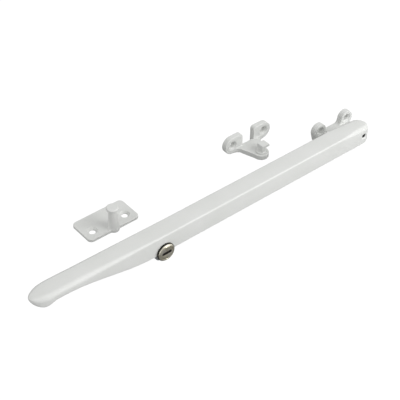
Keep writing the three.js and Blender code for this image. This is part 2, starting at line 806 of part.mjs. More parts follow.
// The frame bracket's right ear: round at its outer end, squarer beside the notch.
function frameEar() {
  const { spacing, lobe, holeZ, notch, corner } = FRAME_BRACKET;
  const x = spacing / 2;
  const inner = notch / 2;
  const top = holeZ + lobe;
  const shape = new THREE.Shape();
  shape.moveTo(inner, holeZ - lobe);
  shape.lineTo(x, holeZ - lobe);
  shape.absarc(x, holeZ, lobe, -Math.PI / 2, Math.PI / 2);
  shape.lineTo(inner + corner, top);
  shape.absarc(inner + corner, top - corner, corner, Math.PI / 2, Math.PI);
  shape.lineTo(inner, holeZ - lobe);
  return shape;
}

const frameCentre = ARM.left + FRAME_BRACKET.fromNose;
const hookY = FRAME_BRACKET.back - FRAME_BRACKET.reach;

function makeFrameBracket() {
  const { back, thickness, spacing, holeZ, tongue, tipRadius, reach, rootWidth } = FRAME_BRACKET;
  const front = back - thickness;
  const ear = upright(frameEar(), front, back, 0.8);
  let bracket = ear.add(ear.mirror([1, 0, 0]));
  const outline = tongueOutline(rootWidth, reach - thickness, tipRadius, 0);
  bracket = bracket.add(prism(outline, 0, tongue).translate([0, front, 0]));
  for (const side of [-1, 1]) {
    bracket = bracket.subtract(wallScrewHole(front, thickness).translate([side * spacing / 2, 0, holeZ]));
  }
  const rivetHole = turned([
    [0, -EPS],
    [HOOK.rivetRadius + 1.3, -EPS],
    [HOOK.rivetRadius + 1.3, 0.3],
    [HOOK.rivetRadius + GAP, 1.4],
    [HOOK.rivetRadius + GAP, tongue + 1],
    [0, tongue + 1],
  ]);
  return bracket.subtract(rivetHole.translate([0, hookY, 0])).translate([frameCentre, 0, 0]);
}

// The swivelling hook: a riveted stem, a round collar, a flat post and an overhanging head.
function makeHook() {
  const collarZ = FRAME_BRACKET.tongue + GAP;
  const postZ = collarZ + HOOK.collarDepth;
  const top = postZ + HOOK.height;
  const stem = turned([
    [0, GAP],
    [HOOK.rivetRadius + 0.9, GAP],
    [HOOK.rivetRadius, 1.3],
    [HOOK.rivetRadius, collarZ],
    [HOOK.collarRadius, collarZ],
    [HOOK.collarRadius, postZ - 0.3],
    [HOOK.collarRadius - 0.3, postZ],
    [0, postZ],
  ]);
  const back = HOOK.postBack;
  const nose = back + HOOK.headLength;
  const front = back + HOOK.postLength;
  const outline = new THREE.Shape();
  outline.moveTo(back, postZ - EPS);
  outline.lineTo(front, postZ - EPS);
  outline.lineTo(front, top - HOOK.headDepth - 0.8);
  outline.quadraticCurveTo(front, top - HOOK.headDepth, front + 0.8, top - HOOK.headDepth);
  outline.lineTo(nose - 0.5, top - HOOK.headDepth);
  outline.lineTo(nose, top - HOOK.headDepth + 0.5);
  outline.lineTo(nose, top - 0.6);
  outline.lineTo(nose - 0.6, top);
  outline.lineTo(back + 0.6, top);
  outline.lineTo(back, top - 0.6);
  const wide = HOOK.postWidth / 2;
  return stem.add(upright(outline, -wide, wide)).translate([frameCentre, hookY, 0]);
}

// ---------------------------------------------------------------- peg plate

const plateY = SET_DEPTH / 2 - PEG_PLATE.width / 2 - ARM_Y;

function makePegPlate() {
  const { length, width, thickness, corner, spacing } = PEG_PLATE;
  const pegY = -width / 2 + PEG.inset;
  let plate = prism(roundedRectangle(length, width, corner), 0, thickness, PEG_PLATE.edge);
  const head = PEG.height - PEG.headDepth;
  const peg = turned([
    [0, 0],
    [PEG.foot + PEG.fillet, 0],
    [PEG.foot + PEG.fillet, thickness],
    [PEG.foot, thickness + PEG.fillet],
    [PEG.neck, head - 0.4],
    [PEG.headRadius - 0.4, head],
    [PEG.headRadius, head + 0.4],
    [PEG.headRadius, PEG.height - 0.6],
    [PEG.headRadius - 0.6, PEG.height],
    [0, PEG.height],
  ], 32);
  plate = plate.add(peg.translate([0, pegY, 0]));
  for (const side of [-1, 1]) {
    const hole = screwHole(thickness, thickness);
    plate = plate.subtract(hole.translate([side * spacing / 2, -PEG_PLATE.holesForward, 0]));
  }
  return plate.translate([ARM.left + PEG_PLATE.fromNose, plateY, 0]);
}

// ---------------------------------------------------------------- assembly

const onArm = [0, ARM_Y, 0];

add('arm_body', makeArm(), coat, onArm);
add('slide_track', makeTrack(), steel, onArm);
trackScrewX.forEach((x, index) => {
  add(`track_screw_${index + 1}`, makeTrackScrew(x), steel, onArm);
});
add('stop_handle_end', makeTrackStop(trackScrewX[0]), nylonBlack, onArm);
add('stop_pivot_end', makeTrackStop(trackScrewX[2]), nylonBlack, onArm);
add('slider', makeSlider(), nylonWhite, onArm);
add('slider_spring', makeSliderSpring(), steel, onArm);

add('lock_body', makeLockBody(), zinc, onArm);
add('lock_barrel', makeLockBarrel(), nickel, onArm);
add('lock_plug', makeLockPlug(), nickel, onArm);
add('lock_clip', makeLockClip(), steel, onArm);
add('lock_cam', makeLockCam(), steel, onArm);
add('lock_cam_screw', makeCamScrew(), steel, onArm);
add('lock_fixing_screw', makeFixingScrew(), steel, onArm);

add('pivot_yoke', makePivotYoke(), zinc, onArm);
add('cross_pin', makeCrossPin(), steel, onArm);
add('pivot_rivet', makePivotRivet(), steel, onArm);
add('pivot_washer', makePivotWasher(), nylonBlack, onArm);

add('sash_bracket', makeSashBracket(), coat, onArm);
add('frame_bracket', makeFrameBracket(), coat, onArm);
add('swivel_hook', makeHook(), coat, onArm);
add('peg_plate', makePegPlate(), coat, onArm);

export default group;
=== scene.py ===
# Looks for the key-lockable casement window stay: a white powder-coated channel arm with its
# handle and side lock, a swivelling sash bracket, a loose frame bracket and a loose peg plate.
# Metres, in the frame of the CAD model: +X towards the arm's pivot, -Y the key side, +Z up.

import json
import math

import bmesh
import bpy
from mathutils import Matrix, Vector

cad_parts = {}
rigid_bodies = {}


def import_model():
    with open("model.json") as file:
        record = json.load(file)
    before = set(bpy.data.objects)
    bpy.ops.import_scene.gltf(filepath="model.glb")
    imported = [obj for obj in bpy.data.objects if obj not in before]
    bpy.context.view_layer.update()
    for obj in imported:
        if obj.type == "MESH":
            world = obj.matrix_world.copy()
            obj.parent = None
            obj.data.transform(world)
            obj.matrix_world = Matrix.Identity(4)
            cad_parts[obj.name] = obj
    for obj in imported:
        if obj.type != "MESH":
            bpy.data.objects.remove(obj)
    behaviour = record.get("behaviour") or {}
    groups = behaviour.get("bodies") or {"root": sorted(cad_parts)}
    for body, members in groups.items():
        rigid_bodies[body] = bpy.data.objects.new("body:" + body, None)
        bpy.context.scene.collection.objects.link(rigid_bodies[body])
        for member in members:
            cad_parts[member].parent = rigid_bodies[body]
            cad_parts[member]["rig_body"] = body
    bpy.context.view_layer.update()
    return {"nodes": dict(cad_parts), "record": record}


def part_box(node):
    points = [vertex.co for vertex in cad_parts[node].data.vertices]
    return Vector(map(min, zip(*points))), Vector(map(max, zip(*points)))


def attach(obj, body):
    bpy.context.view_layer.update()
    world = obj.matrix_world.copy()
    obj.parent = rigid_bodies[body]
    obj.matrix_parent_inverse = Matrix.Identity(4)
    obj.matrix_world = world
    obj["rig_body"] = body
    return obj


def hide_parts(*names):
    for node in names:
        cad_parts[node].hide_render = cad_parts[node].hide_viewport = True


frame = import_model()
nodes = frame["nodes"]

MM = 0.001
EPS = 0.05


# ---------------------------------------------------------------- node materials

def new_material(name, **sockets):
    """A material with one Principled shader, whose named sockets get these values."""
    material = bpy.data.materials.new(name)
    material.use_nodes = True
    shader = material.node_tree.nodes["Principled BSDF"]
    for socket, value in sockets.items():
        shader.inputs[socket.replace("_", " ")].default_value = value
    return material


def add_node(material, kind, inputs=(), **settings):
    node = material.node_tree.nodes.new(kind)
    for key, value in settings.items():
        setattr(node, key, value)
    for key, value in dict(inputs).items():
        if isinstance(value, bpy.types.NodeSocket):
            material.node_tree.links.new(value, node.inputs[key])
        else:
            node.inputs[key].default_value = value
    return node


def link(material, output, socket):
    shader = material.node_tree.nodes["Principled BSDF"]
    material.node_tree.links.new(output, shader.inputs[socket])


def place(material, stretch=(1, 1, 1)):
    """Coordinates fixed to the piece, in metres, stretched along an axis where asked."""
    coordinates = add_node(material, "ShaderNodeTexCoord")
    mapping = add_node(material, "ShaderNodeMapping", {"Vector": coordinates.outputs["Object"]})
    mapping.inputs["Scale"].default_value = stretch
    return mapping.outputs["Vector"]


def noise(material, vector, scale, detail=2.0, roughness=0.5):
    node = add_node(material, "ShaderNodeTexNoise", {
        "Vector": vector, "Scale": scale, "Detail": detail, "Roughness": roughness,
    })
    return node.outputs["Fac"]


def ramp(material, value, *stops):
    """A colour ramp from (position, colour) stops."""
    node = add_node(material, "ShaderNodeValToRGB", {"Fac": value})
    elements = node.color_ramp.elements
    while len(elements) < len(stops):
        elements.new(0.5)
    for element, (position, colour) in zip(elements, stops):
        element.position = position
        element.color = (*colour, 1)
    return node.outputs["Color"]


def spread(material, value, low, high):
    """The middle of a noise, which hardly leaves 0.3 to 0.7, spread over low to high."""
    node = add_node(material, "ShaderNodeMapRange", {
        "Value": value, "From Min": 0.3, "From Max": 0.7, "To Min": low, "To Max": high,
    })
    return node.outputs["Result"]


def mix(material, factor, first, second):
    node = add_node(material, "ShaderNodeMix", data_type="RGBA")
    for index, value in ((0, factor), (6, first), (7, second)):
        if isinstance(value, bpy.types.NodeSocket):
            material.node_tree.links.new(value, node.inputs[index])
        else:
            node.inputs[index].default_value = value if index == 0 else (*value, 1)
    return node.outputs[2]


def bump(material, *layers):
    """Stack bumps given as (height, depth in metres) and lead them to the shader."""
    normal = None
    for height, depth in layers:
        node = add_node(material, "ShaderNodeBump", {"Height": height, "Distance": depth})
        if normal is not None:
            material.node_tree.links.new(normal, node.inputs["Normal"])
        normal = node.outputs["Normal"]
    link(material, normal, "Normal")


def edges(material, start, end):
    """1 on convex edges of a fine mesh, 0 on its flats; the materials use it to paint highlights on
    edges and shade between knurl teeth.
    """
    pointiness = add_node(material, "ShaderNodeNewGeometry").outputs["Pointiness"]
    node = add_node(material, "ShaderNodeMapRange", {
        "Value": pointiness, "From Min": start, "From Max": end,
    })
    return node.outputs["Result"]


def powder_coat():
    """White satin powder coat: orange peel, faint flow in tone, and a painted highlight that
    brightens its edges.
    """
    material = new_material("white powder coat", IOR=1.5, Specular_IOR_Level=0.34)
    vector = place(material)
    tone = noise(material, vector, 55, 3)
    colour = ramp(material, tone, (0.3, (0.735, 0.745, 0.722)), (0.7, (0.765, 0.772, 0.755)))
    # Painted highlight: convex edges get a brighter colour than the flats.
    colour = mix(material, edges(material, 0.54, 0.7), colour, (0.775, 0.78, 0.77))
    link(material, colour, "Base Color")
    link(material, spread(material, noise(material, vector, 420, 2), 0.42, 0.54), "Roughness")
    bump(
        material,
        (noise(material, vector, 900, 2, 0.45), 0.000035),
        (noise(material, vector, 130, 1), 0.00006),
    )
    return material


def satin_nickel():
    """Warm satin nickel: fine turned scratches, smudges, and a painted highlight that lightens its
    convex edges.
    """
    material = new_material("satin nickel", Metallic=1.0)
    vector = place(material)
    scratches = noise(material, place(material, (1, 0.05, 6)), 900, 3, 0.7)
    smudge = noise(material, vector, 260, 4, 0.6)
    colour = ramp(material, smudge, (0.3, (0.7, 0.655, 0.5)), (0.7, (0.78, 0.74, 0.59)))
    # Painted highlight: convex edges get a lighter colour than the flats and hollows.
    colour = mix(material, edges(material, 0.52, 0.6), colour, (0.86, 0.83, 0.73))
    link(material, colour, "Base Color")
    link(material, spread(material, smudge, 0.3, 0.44), "Roughness")
    bump(material, (scratches, 0.000012), (noise(material, vector, 1500, 2), 0.00001))
    return material


def knurl_nickel_with_painted_shade():
    """The knurled rim: nickel painted dark all over as a dark reflection, and near black between its
    teeth as painted shade.
    """
    material = new_material("knurled nickel with painted shade", Metallic=1.0)
    vector = place(material)
    # Painted shade and reflection: near black in the roots, a dim nickel only on the crests.
    colour = mix(material, edges(material, 0.55, 0.72), (0.02, 0.019, 0.017), (0.3, 0.285, 0.24))
    link(material, colour, "Base Color")
    link(material, spread(material, noise(material, vector, 700, 3), 0.38, 0.6), "Roughness")
    bump(material, (noise(material, vector, 1800, 2), 0.00002))
    return material


def raw_zinc():
    """Bare die-cast zinc: dull blue grey with cloudy tone and a grainy skin."""
    material = new_material("bare cast zinc", Metallic=1.0)
    vector = place(material)
    cloud = noise(material, vector, 240, 5, 0.65)
    colour = ramp(material, cloud, (0.3, (0.235, 0.25, 0.265)), (0.7, (0.41, 0.43, 0.45)))
    # Painted highlight: convex edges get a paler colour than the flats.
    colour = mix(material, edges(material, 0.52, 0.62), colour, (0.62, 0.64, 0.66))
    link(material, colour, "Base Color")
    link(material, spread(material, cloud, 0.42, 0.62), "Roughness")
    bump(material, (noise(material, vector, 1400, 3), 0.00003), (cloud, 0.00003))
    return material


def plated_steel():
    """Bright zinc-plated steel: rolled lines along the strip and a faint yellow and blue bloom."""
    material = new_material("zinc-plated steel", Metallic=1.0)
    vector = place(material)
    bloom = noise(material, vector, 90, 3, 0.6)
    colour = ramp(
        material, bloom,
        (0.3, (0.5, 0.52, 0.56)), (0.5, (0.6, 0.61, 0.61)), (0.7, (0.62, 0.6, 0.54)),
    )
    link(material, colour, "Base Color")
    lines = noise(material, place(material, (0.04, 1, 1)), 2600, 2, 0.6)
    link(material, spread(material, bloom, 0.26, 0.4), "Roughness")
    bump(material, (lines, 0.000012))
    return material


def black_steel():
    """Blackened steel of the cross pin."""
    material = new_material("blackened steel", Metallic=1.0)
    vector = place(material)
    patch = noise(material, vector, 500, 4)
    colour = ramp(material, patch, (0.3, (0.018, 0.018, 0.02)), (0.7, (0.05, 0.05, 0.055)))
    link(material, colour, "Base Color")
    link(material, spread(material, patch, 0.45, 0.65), "Roughness")
    bump(material, (noise(material, vector, 2200, 2), 0.00001))
    return material


def painted_shade_throat():
    """Painted shade for the unlit inside of the key slot: near black, dull and faintly mottled."""
    material = new_material("key slot painted shade", IOR=1.3)
    vector = place(material)
    shade_mottle = noise(material, vector, 900, 3)
    # Painted shade: near black stands for the unlit inside of the slot.
    colour = ramp(material, shade_mottle, (0.3, (0.006, 0.005, 0.004)), (0.7, (0.016, 0.013, 0.01)))
    link(material, colour, "Base Color")
    link(material, spread(material, shade_mottle, 0.8, 1), "Roughness")
    bump(material, (shade_mottle, 0.00003))
    return material


def nylon(name, low, high, roughness):
    """Moulded nylon: a fine spark-eroded grain and slow shifts in tone."""
    material = new_material(name, IOR=1.53)
    vector = place(material)
    tone = noise(material, vector, 160, 2)
    link(material, ramp(material, tone, (0.3, low), (0.7, high)), "Base Color")
    grain = noise(material, vector, 1200, 2)
    link(material, spread(material, grain, roughness - 0.07, roughness + 0.07), "Roughness")
    bump(material, (noise(material, vector, 2400, 3, 0.7), 0.00002))
    return material


finishes = {
    "white_coat": powder_coat(),
    "satin_nickel": satin_nickel(),
    "raw_zinc": raw_zinc(),
    "zinc_plated_steel": plated_steel(),
    "blackened_steel": black_steel(),
    "white_nylon": nylon("natural nylon", (0.63, 0.61, 0.54), (0.69, 0.67, 0.6), 0.5),
    "black_nylon": nylon("black nylon", (0.012, 0.012, 0.013), (0.022, 0.022, 0.024), 0.46),
}
slots = {row["node"]: row["material_slot"] for row in frame["record"]["subparts"]}


# ---------------------------------------------------------------- making pieces

def make_object(name, mesh):
    piece = bpy.data.objects.new(name, mesh)
    bpy.context.scene.collection.objects.link(piece)
    return piece


def mesh_of(name, points, faces):
    """A mesh from points in millimetres."""
    mesh = bpy.data.meshes.new(name)
    mesh.from_pydata([Vector(point) * MM for point in points], [], faces)
    mesh.update()
    return mesh


def apply_modifiers(piece):
    """Swap the piece's mesh for the one that its modifiers make."""
    graph = bpy.context.evaluated_depsgraph_get()
    mesh = bpy.data.meshes.new_from_object(piece.evaluated_get(graph))
    piece.modifiers.clear()
    piece.data = mesh


def combine(piece, others, operation):
    """Join or cut the piece with other solids, which are used up."""
    for other in others:
        modifier = piece.modifiers.new("combine", "BOOLEAN")
        modifier.operation = operation
        modifier.solver = "EXACT"
        modifier.object = other
    apply_modifiers(piece)
    for other in others:
        bpy.data.objects.remove(other)


def smooth_by_angle(piece, degrees):
    """Smooth shading that breaks where two faces turn by more than this."""
    form = bmesh.new()
    form.from_mesh(piece.data)
    for face in form.faces:
        face.smooth = True
    for edge in form.edges:
        edge.smooth = edge.calc_face_angle(0) < math.radians(degrees)
    form.to_mesh(piece.data)
    form.free()


def round_edges(piece, width, degrees=35, segments=3):
    """A narrow bevel on the hard edges."""
    modifier = piece.modifiers.new("edges", "BEVEL")
    modifier.width = width * MM
    modifier.segments = segments
    modifier.limit_method = "ANGLE"
    modifier.angle_limit = math.radians(degrees)
    modifier.harden_normals = False
    apply_modifiers(piece)
    smooth_by_angle(piece, degrees)


def melt(piece, voxel, passes):
    """Remesh a solid finely and relax it, so its corners and junctions round as a casting's do."""
    remesh = piece.modifiers.new("remesh", "REMESH")
    remesh.mode = "VOXEL"
    remesh.voxel_size = voxel * MM
    remesh.use_smooth_shade = True
    relax = piece.modifiers.new("relax", "SMOOTH")
    relax.factor = 0.5
    relax.iterations = passes
    apply_modifiers(piece)


def finish(piece, *replaced, material=None):
    """Give the piece its finish, its body and the CAD nodes that it stands for."""
    first = replaced[0]
    piece.data.materials.clear()
    piece.data.materials.append(material or finishes[slots[first]])
    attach(piece, nodes[first]["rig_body"])
    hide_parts(*replaced)
    return piece


def refined(node, name, width, degrees=35):
    """A copy of a CAD solid whose flat faces are whole and whose hard edges are eased."""
    mesh = nodes[node].data.copy()
    form = bmesh.new()
    form.from_mesh(mesh)
    bmesh.ops.remove_doubles(form, verts=form.verts, dist=1e-6)
    bmesh.ops.dissolve_limit(
        form, angle_limit=math.radians(0.5), verts=form.verts, edges=form.edges,
    )
    form.to_mesh(mesh)
    form.free()
    piece = make_object(name, mesh)
    round_edges(piece, width, degrees, 2)
    return finish(piece, node)


# ---------------------------------------------------------------- solids in millimetres

def prism(name, outline, low, high):
    """A prism of a plan outline between two heights."""
    count = len(outline)
    points = [(x, y, low) for x, y in outline] + [(x, y, high) for x, y in outline]
    faces = [tuple(reversed(range(count))), tuple(range(count, 2 * count))]
    faces += [(i, (i + 1) % count, (i + 1) % count + count, i + count) for i in range(count)]
    return make_object(name, mesh_of(name, points, faces))


def turned(name, profile, spokes=96):
    """A solid of revolution about Z from (radius, height) pairs between two points of the axis."""
    points = [(0, 0, profile[0][1]), (0, 0, profile[-1][1])]
    faces = []
    rings = profile[1:-1]
    for radius, height in rings:
        for spoke in range(spokes):
            angle = spoke / spokes * math.tau
            points.append((radius * math.cos(angle), radius * math.sin(angle), height))
    last = 2 + (len(rings) - 1) * spokes
    for spoke in range(spokes):
        after = (spoke + 1) % spokes
        faces.append((0, 2 + after, 2 + spoke))
        faces.append((1, last + spoke, last + after))
        for ring in range(len(rings) - 1):
            low = 2 + ring * spokes
            faces.append((low + spoke, low + after, low + spokes + after, low + spokes + spoke))
    return make_object(name, mesh_of(name, points, faces))


def rod(name, radius, low, high, spokes=64):
    return turned(name, [(0, low), (radius, low), (radius, high), (0, high)], spokes)


def box(name, low, high):
    outline = [(low[0], low[1]), (high[0], low[1]), (high[0], high[1]), (low[0], high[1])]
    return prism(name, outline, low[2], high[2])


def moved(piece, x=0, y=0, z=0):
    piece.data.transform(Matrix.Translation(Vector((x, y, z)) * MM))
    return piece


def along_y(piece):
    """Lay a solid made along +Z so that it runs along +Y, keeping X."""
    piece.data.transform(Matrix.Rotation(math.radians(-90), 4, "X"))
    return piece


def upright(piece):
    """Stand a prism drawn in X and Z, whose height was measured towards -Y, upright."""
    piece.data.transform(Matrix.Rotation(math.radians(90), 4, "X"))
    return piece


def arc(x, y, radius, start, end, steps=24):
    """Points of an arc from one angle to another, in degrees."""
    angles = [math.radians(start + (end - start) * step / steps) for step in range(steps + 1)]
    return [(x + radius * math.cos(angle), y + radius * math.sin(angle)) for angle in angles]


def rounded_rectangle(length, width, radius):
    x = length / 2 - radius
    y = width / 2 - radius
    return (
        arc(x, -y, radius, -90, 0) + arc(x, y, radius, 0, 90)
        + arc(-x, y, radius, 90, 180) + arc(-x, -y, radius, 180, 270)
    )


def slot_outline(start, end, width):
    radius = width / 2
    return arc(end - radius, 0, radius, -90, 90) + arc(start + radius, 0, radius, 90, 270)


# ---------------------------------------------------------------- arm

SET_LENGTH = 309
ARM_LENGTH = 300
ARM_LEFT = -SET_LENGTH / 2
ARM_RIGHT = ARM_LEFT + ARM_LENGTH
ARM_Y = -25.2
ARM_WIDTH = 14.8
ARM_HEIGHT = 14.8
ARM_BOTTOM = 5.6
ARM_TOP = ARM_BOTTOM + ARM_HEIGHT
ARM_WALL = 1.6
ARM_INNER = ARM_WIDTH - 2 * ARM_WALL
ARM_CEILING = ARM_TOP - 1.8
CAVITY_START = 80
PIVOT_X = ARM_RIGHT - 8
PIN_Z = 12.5
TRACK = {"start": 116, "end": 284, "top": 16.1, "stop": 7}

# The handle: places are distances from its nose.
NOSE_LENGTH = 13
NOSE_POWER = 1.95           # 2 would be an ellipse, less is more pointed
NOSE_DROP = 2.1
NOSE_TUCK = 6.8
HANDLE_DEPTH = 6.6
HANDLE_LIFT = 2
HANDLE_FLARE = 0.6
SLIM = (23, 90)             # where the slim part deepens into the channel
BULB = (6, 16)
BULB_DEPTH = 3              # extra depth of the bulb at the nose
SPREAD = (15, 120)          # where lift and flare fade out

# The domed end, and the edges from one end to the other.
END_LENGTH = 10.5
END_DROP = 3
END_TUCK = 4.5
END_WALL = 1.9
HANDLE_EDGE = 3.6
CHANNEL_EDGE = 1.2
DOME_EDGE = 3.8
SHARPEN = (20, 110)         # where the handle's soft edge turns into the channel's
SOFTEN = (264, 294)         # where the channel's edge turns into the dome's


def smoothstep(low, high, value):
    share = min(max((value - low) / (high - low), 0), 1)
    return share * share * (3 - 2 * share)


def blend(first, second, share):
    return first + (second - first) * share


def opened(distance, reach, power):
    """How far a rounded end has opened out, from 0 at its tip to 1."""
    share = min(distance / reach, 1)
    return (1 - (1 - share) ** power) ** (1 / power)


def arm_ring(distance, steps=10):
    """The arm's section at a distance from its nose, as one ring of points."""
    nose = opened(distance, NOSE_LENGTH, NOSE_POWER)
    tail = opened(ARM_LENGTH - distance, ARM_WIDTH / 2, 2)
    dome = 1 - opened(ARM_LENGTH - distance, END_LENGTH, 2)
    slim = 1 - smoothstep(*SLIM, distance)
    bulb = 1 - smoothstep(*BULB, distance)
    fade = 1 - smoothstep(*SPREAD, distance)
    lifted = ARM_TOP + HANDLE_LIFT * fade
    depth = blend(ARM_HEIGHT, HANDLE_DEPTH, slim) + BULB_DEPTH * bulb
    half = max((ARM_WIDTH / 2 + HANDLE_FLARE * fade) * nose * tail, 0.4)
    top = lifted - NOSE_DROP * (1 - nose) - END_DROP * dome
    bottom = lifted - depth + NOSE_TUCK * (1 - nose) + END_TUCK * dome
    limit = min(half, (top - bottom) / 2) * 0.96
    soft = blend(HANDLE_EDGE, CHANNEL_EDGE, smoothstep(*SHARPEN, distance))
    upper = min(blend(soft, DOME_EDGE, smoothstep(*SOFTEN, distance)), limit)
    lower = min(blend(0.5, 1.4, slim), limit)
    section = (
        arc(half - lower, bottom + lower, lower, -90, 0, steps)
        + arc(half - upper, top - upper, upper, 0, 90, steps)
        + arc(-half + upper, top - upper, upper, 90, 180, steps)
        + arc(-half + lower, bottom + lower, lower, 180, 270, steps)
    )
    return [(ARM_LEFT + distance, ARM_Y + y, z) for y, z in section]


def arm_stations():
    """Distances at which the section is taken, close together where it turns."""
    turns = [math.radians(90 * step / 24) for step in range(24)]
    nose = [NOSE_LENGTH * (1 - math.cos(turn)) for turn in turns]
    tail = [ARM_LENGTH - ARM_WIDTH / 2 * (1 - math.cos(turn)) for turn in reversed(turns)]
    handle = [NOSE_LENGTH + 1.2 * step for step in range(91)]
    dome = [256 + 1.8 * step for step in range(20)]
    return nose + handle + dome + [ARM_LENGTH - ARM_WIDTH / 2] + tail


def loft(name, rings):
    count = len(rings[0])
    points = [point for ring in rings for point in ring]
    last = (len(rings) - 1) * count
    faces = [tuple(reversed(range(count))), tuple(last + index for index in range(count))]
    for row in range(len(rings) - 1):
        low = row * count
        for index in range(count):
            after = (index + 1) % count
            faces.append((low + index, low + after, low + count + after, low + count + index))
    return make_object(name, mesh_of(name, points, faces))


def make_arm():
    arm = loft("arm_casting", [arm_ring(distance) for distance in arm_stations()])
    cavity = prism(
        "cavity",
        slot_outline(ARM_LEFT + CAVITY_START, ARM_RIGHT - END_WALL, ARM_INNER),
        ARM_BOTTOM - ARM_HEIGHT, ARM_CEILING,
    )
    pin_bore = moved(along_y(rod("pin_bore", 1.75, -20, 20)), PIVOT_X, 0, PIN_Z)
    lock_bore = moved(along_y(rod("lock_bore", LOCK_BARREL + 0.3, -9, -4)), LOCK_X, 0, LOCK_Z)
    side = -ARM_WIDTH / 2
    mouth = turned("mouth", [
        (0, -9), (2.7, -9), (2.7, side - EPS), (1.75, side + 0.6), (0, side + 0.6),
    ])
    mouth = moved(along_y(mouth), PIVOT_X, 0, PIN_Z)
    tools = [moved(tool, y=ARM_Y) for tool in (cavity, pin_bore, lock_bore, mouth)]
    combine(arm, tools, "DIFFERENCE")
    pads = []
    for distance in (TRACK["start"] + TRACK["stop"] / 2, 200, TRACK["end"] - TRACK["stop"] / 2):
        x = ARM_LEFT + distance
        pads.append(box(
            "pad",
            (x - 5, ARM_Y - 4.6, TRACK["top"] + 0.3),
            (x + 5, ARM_Y + 4.6, ARM_CEILING + 0.2),
        ))
    boss = rod("boss", 2.6, 9.5, ARM_CEILING + 0.2)
    pads.append(moved(boss, LOCK_X + 9.8, ARM_Y - 2.6))
    combine(arm, pads, "UNION")
    smooth_by_angle(arm, 32)
    finish(arm, "arm_body")


# ---------------------------------------------------------------- lock

LOCK_X = ARM_LEFT + 101
LOCK_Z = ARM_BOTTOM + 1.5
LOCK_FACE = -ARM_WIDTH / 2 - 2.4
LOCK_BARREL = 4.9
FACE_RADIUS = 6.6
RIM_RADIUS = 7
RIM_DEPTH = 2.2
PLUG_FACE = 5.2


def in_lock(piece):
    """Lay a solid made along +Z on the lock's axis."""
    return moved(along_y(piece), LOCK_X, ARM_Y, LOCK_Z)


def make_lock_barrel():
    """The polished and bevelled face with the barrel behind it."""
    front = LOCK_FACE
    barrel = turned("lock_face", [
        (0, front + 1.5),
        (PLUG_FACE + 0.12, front + 1.5),
        (PLUG_FACE + 0.12, front + 0.1),
        (PLUG_FACE + 0.22, front),
        (FACE_RADIUS - 0.75, front),
        (FACE_RADIUS - 0.15, front + 0.35),
        (FACE_RADIUS, front + 0.7),
        (FACE_RADIUS - 0.25, front + 0.8),
        (FACE_RADIUS - 0.25, front + RIM_DEPTH),
        (LOCK_BARREL, front + RIM_DEPTH),
        (LOCK_BARREL, -1.3),
        (0, -1.3),
    ], 128)
    in_lock(barrel)
    smooth_by_angle(barrel, 25)
    finish(barrel, "lock_barrel")


def make_lock_rim():
    """The knurled band behind the face: fine rounded teeth with deep roots, which its material
    paints dark as shade.
    """
    teeth = 54
    across = 6
    front = LOCK_FACE + 0.72
    back = LOCK_FACE + RIM_DEPTH + 0.02
    rows = [(front, 0.35), (front + 0.12, 0), (back - 0.12, 0), (back, 0.35)]
    points = []
    faces = []
    around = teeth * across
    for height, ease in rows:
        for index in range(around):
            angle = index / around * math.tau
            crest = 0.5 + 0.5 * math.cos(angle * teeth)
            radius = RIM_RADIUS - 0.42 * (1 - crest ** 0.7) - ease * 0.4
            points.append((radius * math.cos(angle), radius * math.sin(angle), height))
    core = len(points)
    for height in (front, back):
        for index in range(around):
            angle = index / around * math.tau
            points.append((5.6 * math.cos(angle), 5.6 * math.sin(angle), height))
    for index in range(around):
        after = (index + 1) % around
        for row in range(len(rows) - 1):
            low = row * around
            faces.append((low + index, low + after, low + around + after, low + around + index))
        last = (len(rows) - 1) * around
        faces.append((core + index, core + after, after, index))
        faces.append((last + index, last + after, core + around + after, core + around + index))
        faces.append((core + around + index, core + around + after, core + after, core + index))
    rim = in_lock(make_object("lock_rim", mesh_of("lock_rim", points, faces)))
    smooth_by_angle(rim, 50)
    # The rim's material paints its roots near black as shade and darkens the rest as a dark
    # reflection.
    rim.data.materials.append(knurl_nickel_with_painted_shade())
    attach(rim, "arm")


def make_lock_plug():
    """The turning disc with its key slot, and the plug behind it."""
    face = LOCK_FACE + 0.08
    plug = in_lock(turned("key_plug", [
        (0, face),
        (PLUG_FACE - 0.15, face),
        (PLUG_FACE, face + 0.15),
        (PLUG_FACE, face + 1.2),
        (3.6, face + 1.2),
        (3.6, -1.2),
        (2.4, -1.2),
        (2.4, 0.3),
        (0, 0.3),
    ], 96))
    tail = box("tail", (-1.7, -0.5, -1.7), (1.7, 1.9, 1.7))
    combine(plug, [moved(tail, LOCK_X, ARM_Y, LOCK_Z)], "UNION")
    keyway = upright(prism("keyway", slot_outline(-4, 4, 2.3), -LOCK_FACE - 2.9, -LOCK_FACE + 1))
    combine(plug, [moved(keyway, LOCK_X, ARM_Y, LOCK_Z)], "DIFFERENCE")
    round_edges(plug, 0.07, 30, 2)
    finish(plug, "lock_plug")


def make_key_slot_shade():
    """A near-black block filling the key slot: painted shade for its unlit inside."""
    outline = slot_outline(-3.97, 3.97, 2.24)
    throat = upright(prism("key_slot_shade", outline, -LOCK_FACE - 2.86, -LOCK_FACE - 0.16))
    moved(throat, LOCK_X, ARM_Y, LOCK_Z)
    smooth_by_angle(throat, 40)
    # The block's near-black material is painted shade.
    throat.data.materials.append(painted_shade_throat())
    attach(throat, "key_plug")


# ---------------------------------------------------------------- brackets

